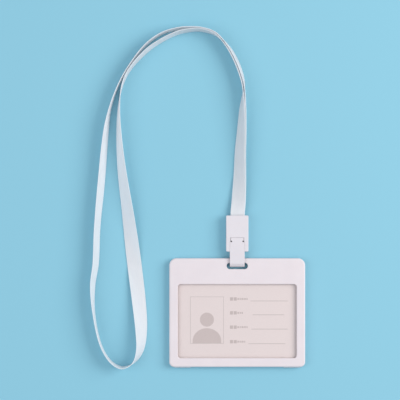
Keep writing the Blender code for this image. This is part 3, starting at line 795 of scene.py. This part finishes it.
def make_card_print():
    """Blank form on the card: portrait frame with a plain figure, label dashes and rules."""
    tone = print_ink("print_tone", (0.635, 0.53, 0.508, 1.0), (0.605, 0.50, 0.48, 1.0))
    line = print_ink("print_line", (0.62, 0.53, 0.51, 1.0), (0.58, 0.49, 0.47, 1.0))
    label = print_ink("print_label", (0.61, 0.51, 0.49, 1.0), (0.56, 0.465, 0.445, 1.0))
    print_portrait(tone, line, CARD_HIGH.z)
    print_rows(label, line, CARD_HIGH.z)


# ---- clip ------------------------------------------------------------------
def clip_outline(inset):
    """Edge of the clip's body, moved inwards by inset."""
    radius = max(CLIP_CORNER - inset, 0.1 * MM)
    return rounded_rectangle(
        CLIP_LOW.x + inset, CLIP_HIGH.x - inset, CLIP_LOW.y + inset, CLIP_HIGH.y - inset,
        radius, radius, 6)


def throat_block():
    """Space between the shells for the two ribbon ends."""
    return box(
        -THROAT_HALF_WIDTH, THROAT_HALF_WIDTH, THROAT_BOTTOM, CLIP_HIGH.y + MM,
        CLIP_MIDDLE_Z - THROAT_HALF_DEPTH, CLIP_MIDDLE_Z + THROAT_HALF_DEPTH)


def tooth(y, side):
    """Ridge across the throat that grips the ribbon; side is 1 on the front shell."""
    root = CLIP_MIDDLE_Z + side * (THROAT_HALF_DEPTH + ROOT_DEPTH)
    tip = CLIP_MIDDLE_Z + side * (THROAT_HALF_DEPTH - TOOTH_HEIGHT)
    profile = [(y - TOOTH_HALF_LENGTH, root), (y + TOOTH_HALF_LENGTH, root), (y, tip)]
    return bar(profile, -THROAT_HALF_WIDTH - ROOT_DEPTH, THROAT_HALF_WIDTH + ROOT_DEPTH)


def make_clip_front(material):
    """Front shell of the clip, with the tongue's channel and catch pocket."""
    seam = CLIP_MIDDLE_Z + SHELL_HALF_GAP
    layers = rounded_layers(clip_outline, seam, CLIP_FRONT_Z, CLIP_EDGE)
    shell = make("clip_front", stack(layers))
    combine(shell, throat_block())
    top = CLIP_FRONT_Z + MM
    floor = CLIP_FRONT_Z - LEG_THICKNESS - CHANNEL_FLOOR_FIT
    channel = LEG_HALF_WIDTH + SLIDE_FIT
    combine(shell, box(-channel, channel, CLIP_LOW.y - MM, SHOULDER_Y + SLIDE_FIT, floor, top))
    room = HEAD_HALF_WIDTH + HEAD_SIDE_FIT
    combine(shell, box(-room, room, SHOULDER_Y - MM, TONGUE_TIP + HEAD_TOP_FIT, floor, top))
    combine(shell, box(
        -room, room, SHOULDER_Y - 0.3 * MM, BARB_POCKET_TOP,
        CLIP_MIDDLE_Z + BARB_POCKET_FLOOR, floor + CHANNEL_FLOOR_FIT))
    for y in TOOTH_PLACES:
        combine(shell, tooth(y, 1), "UNION")
    soften(shell, CLIP_ROUNDING)
    return place(shell, "clip", material, ("clip_front_shell",))


def hook_profile():
    """Side view of the loop: the back leg, and the bend up to the tongue's seam."""
    inner = BEND_RADIUS - LEG_THICKNESS
    seam = 90.0 + BEND_SEAM_DEGREES
    outside = arc(BEND_Y, CLIP_MIDDLE_Z, BEND_RADIUS, 270.0, seam, 32)
    inside = arc(BEND_Y, CLIP_MIDDLE_Z, inner, seam, 270.0, 32)
    root = CLIP_LOW.y + CLIP_EDGE + 0.3 * MM
    return ([(root, CLIP_BACK_Z + LEG_RISE)] + outside + inside
            + [(root, CLIP_BACK_Z + LEG_THICKNESS)])


def make_clip_back(material):
    """Back shell of the clip, in one piece with the loop through the slot."""
    seam = CLIP_MIDDLE_Z - SHELL_HALF_GAP
    layers = rounded_layers(clip_outline, seam, CLIP_BACK_Z, CLIP_EDGE)
    shell = make("clip_back", stack(layers))
    combine(shell, throat_block())
    combine(shell, bar(hook_profile(), -LEG_HALF_WIDTH, LEG_HALF_WIDTH), "UNION")
    for y in TOOTH_PLACES:
        combine(shell, tooth(y, -1), "UNION")
    soften(shell, CLIP_ROUNDING)
    return place(shell, "clip", material, ("clip_rear_shell",))


def make_tongue(material):
    """Front leg of the loop with its living hinge, which snaps flush into the clip's face."""
    under = CLIP_FRONT_Z - LEG_THICKNESS
    seam = 90.0 + BEND_SEAM_DEGREES - BEND_SEAM_FIT_DEGREES
    profile = arc(BEND_Y, CLIP_MIDDLE_Z, BEND_RADIUS, seam, 90.0, 8)
    profile += [(TONGUE_TIP, CLIP_FRONT_Z), (TONGUE_TIP, under)]
    profile += arc(BEND_Y, CLIP_MIDDLE_Z, BEND_RADIUS - LEG_THICKNESS, 90.0, seam, 8)
    tongue = make("tongue", bar(profile, -LEG_HALF_WIDTH, LEG_HALF_WIDTH))
    root = under + ROOT_DEPTH
    barb = [(BARB_BOTTOM, root), (BARB_BOTTOM, TONGUE_LOW.z), (BARB_TOP, root)]
    combine(tongue, bar(barb, -BARB_HALF_WIDTH, BARB_HALF_WIDTH), "UNION")
    above = CLIP_FRONT_Z + MM
    for side in (1, -1):
        outer = side * (LEG_HALF_WIDTH + MM)
        neck = side * NECK_HALF_WIDTH
        head = side * HEAD_HALF_WIDTH
        combine(tongue, box(
            min(neck, outer), max(neck, outer), SHOULDER_Y, HEAD_BOTTOM, under - MM, above))
        combine(tongue, box(
            min(head, outer), max(head, outer), SHOULDER_Y, TONGUE_TIP + MM, under - MM, above))
    soften(tongue, CLIP_ROUNDING)
    reach = Vector((0.0, LIVING_HINGE_REACH, 0.0))
    start = TONGUE_AXIS - reach
    end = TONGUE_AXIS + reach
    add_rings(tongue, start.y, end.y, LIVING_HINGE_RINGS)
    return place(
        tongue, "clip", material, ("snap_tongue",), ("tongue", start, end))


# ---- ribbon ----------------------------------------------------------------
def slope(here, there):
    """Change of each value for each metre of the way between two points."""
    step = math.hypot(there[0] - here[0], there[1] - here[1])
    return [(q - p) / step for p, q in zip(here, there)]


def smooth_path(points, spacing, first_slope=None, last_slope=None):
    """Samples of a smooth curve through points, which are equal tuples (x, y, ...)."""
    travelled = [0.0]
    for here, there in zip(points, points[1:]):
        step = math.hypot(there[0] - here[0], there[1] - here[1])
        travelled.append(travelled[-1] + step)
    last = len(points) - 1
    slopes = []
    for i in range(last + 1):
        before = max(i - 1, 0)
        after = min(i + 1, last)
        span = travelled[after] - travelled[before]
        slopes.append([(q - p) / span for p, q in zip(points[before], points[after])])
    slopes[0] = first_slope or slopes[0]
    slopes[last] = last_slope or slopes[last]
    samples = []
    for i in range(last):
        span = travelled[i + 1] - travelled[i]
        count = max(1, round(span / spacing))
        for k in range(count):
            u = k / count
            from_here = 2.0 * u ** 3 - 3.0 * u ** 2 + 1.0
            leave = (u ** 3 - 2.0 * u ** 2 + u) * span
            arrive = (u ** 3 - u ** 2) * span
            samples.append(tuple(
                from_here * p + (1.0 - from_here) * q + leave * a + arrive * b
                for p, q, a, b in zip(points[i], points[i + 1], slopes[i], slopes[i + 1])))
    samples.append(tuple(points[-1]))
    return samples


def in_metres(points):
    """Control points with their plan position in metres."""
    return [(x * MM, y * MM, *(float(angle) for angle in angles)) for x, y, *angles in points]


def left_of(samples, i):
    """Level unit vector to the left of the way the ribbon runs at sample i."""
    before = samples[max(i - 1, 0)]
    after = samples[min(i + 1, len(samples) - 1)]
    along = Vector((after[0] - before[0], after[1] - before[1], 0.0)).normalized()
    return Vector((-along.y, along.x, 0.0))


def across_and_out(left, roll):
    """Unit vectors of a ribbon with a roll: across it to its left edge, and out of its face."""
    up = Vector((0.0, 0.0, 1.0))
    tilt = math.radians(roll)
    across = math.cos(tilt) * left - math.sin(tilt) * up
    return across, math.cos(tilt) * up + math.sin(tilt) * left


def resting_height(roll, thickness):
    """Height of the middle of a ribbon whose lower edge is on the table."""
    tilt = math.radians(roll)
    return 0.5 * RIBBON_WIDTH * abs(math.sin(tilt)) + 0.5 * thickness * abs(math.cos(tilt))


def doubled_height(roll):
    """Height of the middle of the doubled ribbon, which the clip holds up."""
    resting = resting_height(roll, LAYER_PITCH + RIBBON_THICKNESS)
    apart = resting - CLIP_MIDDLE_Z
    return 0.5 * (resting + CLIP_MIDDLE_Z + math.hypot(apart, RISE_SOFTNESS) - RISE_SOFTNESS)


def leaning_layer(foot, left, roll):
    """Centre of one layer of the doubled ribbon that leans about the middle of its foot."""
    centre = foot - 0.5 * RIBBON_WIDTH * across_and_out(left, roll)[0]
    centre.z = max(centre.z, resting_height(roll, RIBBON_THICKNESS))
    return centre


def ribbon_stations():
    """Centre, left vector and roll of each cross-section of the whole ribbon."""
    inner, outer = in_metres((SINGLE_STRAND[0], SINGLE_STRAND[-1]))
    meeting = (0.5 * (inner[0] + outer[0]), 0.5 * (inner[1] + outer[1]),
               0.5 * (inner[2] + 360.0 - outer[2]), 0.0)
    points = in_metres(DOUBLED_STRAND)
    doubled = smooth_path(points, RIBBON_STEP, last_slope=slope(points[-2], meeting))
    upper = []
    lower = []
    for i, (x, y, roll, splay) in enumerate(doubled):
        left = left_of(doubled, i)
        across, out = across_and_out(left, roll)
        foot = Vector((x, y, doubled_height(roll))) + 0.5 * RIBBON_WIDTH * across
        apart = 0.5 * LAYER_PITCH * out
        upper.append((leaning_layer(foot + apart, left, roll + splay), left, roll + splay))
        lower.append((
            leaning_layer(foot - apart, left, roll - splay), -left, 360.0 - roll + splay))
    lower.reverse()

    ends = [(centre.x, centre.y, roll) for centre, left, roll in upper[-2:]]
    starts = [(centre.x, centre.y, roll) for centre, left, roll in lower[:2]]
    single = smooth_path(
        ends[1:] + in_metres(SINGLE_STRAND) + starts[:1], RIBBON_STEP,
        slope(*ends), slope(*starts))
    middle_part = []
    for i in range(1, len(single) - 1):
        x, y, roll = single[i]
        centre = Vector((x, y, resting_height(roll, RIBBON_THICKNESS)))
        middle_part.append((centre, left_of(single, i), roll))
    return upper + middle_part + lower


def ribbon_profile():
    """Cross-section as (across, out) points: a thin web between rounder, thicker selvedges."""
    half = 0.5 * RIBBON_WIDTH
    thick = 0.5 * RIBBON_THICKNESS
    web = 0.84 * thick
    top = [
        (half, 0.0), (half - 0.04 * MM, 0.6 * thick), (half - 0.14 * MM, 0.93 * thick),
        (half - 0.35 * MM, thick), (half - 0.75 * MM, thick), (half - 0.98 * MM, web),
        (0.6 * half, web), (0.3 * half, web),
    ]
    upper = top + [(0.0, web)] + [(-x, out) for x, out in reversed(top)]
    return upper + [(x, -out) for x, out in reversed(upper[1:-1])]


def sweep(name, stations):
    """Sweep the ribbon's cross-section along stations and lay its weave's UVs."""
    profile = ribbon_profile()
    loops = []
    run = [0.0]
    for k, (centre, left, roll) in enumerate(stations):
        side, face = across_and_out(left, roll)
        loops.append([centre + side * across + face * out for across, out in profile])
        if k:
            run.append(run[-1] + (centre - stations[k - 1][0]).length)
    bm = skin(loops)
    layer = bm.loops.layers.uv.new("ribbon")
    count = len(profile)
    bm.verts.index_update()
    for face in bm.faces:
        for corner in face.loops:
            row, column = divmod(corner.vert.index, count)
            corner[layer].uv = (profile[column][0] / MM, run[row] / MM)
    ribbon = make(name, bm)
    ribbon.data.shade_smooth()
    ribbon.data.set_sharp_from_angle(angle=math.radians(RIBBON_SHARP_DEGREES))
    return ribbon


def make_ribbon(material):
    """The neck loop, and its two ends that run into the clip."""
    stations = ribbon_stations()
    count = len(smooth_path(in_metres(DOUBLED_STRAND), RIBBON_STEP))
    near = [i for i in range(count) if stations[i][0].y < MOUTH_PIECE_END]
    cut = near[-1]
    last = len(stations) - 1
    loop = sweep("ribbon_loop", stations[cut:last - cut + 1])
    place(loop, "strap", material, ("strap_loop",))

    for name, node, out in (
            ("ribbon_end_upper", "strap_end_upper", stations[:cut + 1]),
            ("ribbon_end_lower", "strap_end_lower", stations[:last - cut - 1:-1])):
        low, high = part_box(node)
        centre_z = 0.5 * (low.z + high.z)
        if name == "ribbon_end_lower":
            out = [(centre, -left, 360.0 - roll) for centre, left, roll in out]
        inside = []
        y = low.y
        while y < out[0][0].y - RIBBON_STEP:
            share = (y - low.y) / (out[0][0].y - low.y)
            centre = Vector((out[0][0].x * share ** 2, y, centre_z))
            inside.append((centre, Vector((-1.0, 0.0, 0.0)), out[0][2] * share ** 2))
            y += RIBBON_STEP
        reach = Vector((0.0, RIBBON_BEND_REACH, 0.0))
        place(sweep(name, inside + out), "strap", material, (node,),
              ("clip", STRAP_FLEX + reach, STRAP_FLEX - reach))


# ---- room, light and camera ------------------------------------------------
def make_room():
    """Plain pale floor and an even pale surround."""
    floor = make("floor", box(
        -FLOOR_REACH, FLOOR_REACH, -FLOOR_REACH, FLOOR_REACH, FLOOR_UNDERSIDE, FLOOR_TOP))
    nodes = Nodes("floor_paint")
    nodes.set(Base_Color=(0.28, 0.58, 0.71, 1.0), Roughness=0.9, Specular_IOR_Level=0.1)
    floor.data.materials.append(nodes.material)

    world = bpy.data.worlds.new("surround")
    world.use_nodes = True
    background = world.node_tree.nodes["Background"]
    background.inputs["Color"].default_value = (0.86, 0.93, 1.0, 1.0)
    background.inputs["Strength"].default_value = 0.52
    bpy.context.scene.world = world


def add_light(name, target, direction, distance, size, power, colour):
    """Soft square light that faces the target from a direction."""
    data = bpy.data.lights.new(name, "AREA")
    data.shape = "SQUARE"
    data.size = size
    data.energy = power
    data.color = colour
    light = bpy.data.objects.new(name, data)
    direction = Vector(direction).normalized()
    light.location = target + direction * distance
    light.rotation_mode = "QUATERNION"
    light.rotation_quaternion = direction.to_track_quat("Z", "Y")
    light.visible_camera = False
    bpy.context.scene.collection.objects.link(light)


def make_lights_and_camera():
    """Key light low on the right, a weak fill from above, and a long lens straight down."""
    look_at = Vector((-26.0 * MM, 53.6 * MM, 2.0 * MM))
    add_light("key", look_at, direction=(1.0, 0.22, 0.80), distance=1.4, size=0.9,
              power=13.8, colour=(1.0, 0.965, 0.94))
    add_light("fill", look_at, direction=(-0.9, -0.1, 1.0), distance=1.6, size=1.2,
              power=8.0, colour=(0.95, 0.97, 1.0))

    data = bpy.data.cameras.new("camera")
    data.lens = 150.0
    data.sensor_width = 36.0
    data.clip_start = 0.05
    data.clip_end = 50.0
    camera = bpy.data.objects.new("camera", data)
    distance = VIEW_WIDTH * data.lens / data.sensor_width
    camera.location = look_at + Vector((0.0, 0.0, distance))
    bpy.context.scene.collection.objects.link(camera)
    bpy.context.scene.camera = camera
    bpy.context.scene.view_settings.view_transform = "Standard"


# ---- assembly --------------------------------------------------------------
case_plastic = moulded_plastic(
    "case_plastic", (0.820, 0.740, 0.760, 1.0), (0.800, 0.722, 0.744, 1.0), 0.42, 0.12)
clip_plastic = moulded_plastic(
    "clip_plastic", (0.785, 0.735, 0.765, 1.0), (0.765, 0.716, 0.748, 1.0), 0.34, 0.06)
make_case_front(case_plastic)
make_case_back(case_plastic)
make_clip_front(clip_plastic)
make_clip_back(clip_plastic)
make_tongue(clip_plastic)
make_ribbon(webbing("ribbon_weave"))
make_card_print()

clear = clear_sheet("clear_sheet", 0.035)
for node, material in (
        ("front_pane", clear),
        ("rear_pane", clear),
        ("insert_card", card_stock("card_stock")),
        ("hinge_pin_left", steel_wire("pin_wire_left")),
        ("hinge_pin_right", steel_wire("pin_wire_right"))):
    carried = frame["nodes"][node]
    carried.data.materials.clear()
    carried.data.materials.append(material)

make_room()
make_lights_and_camera()
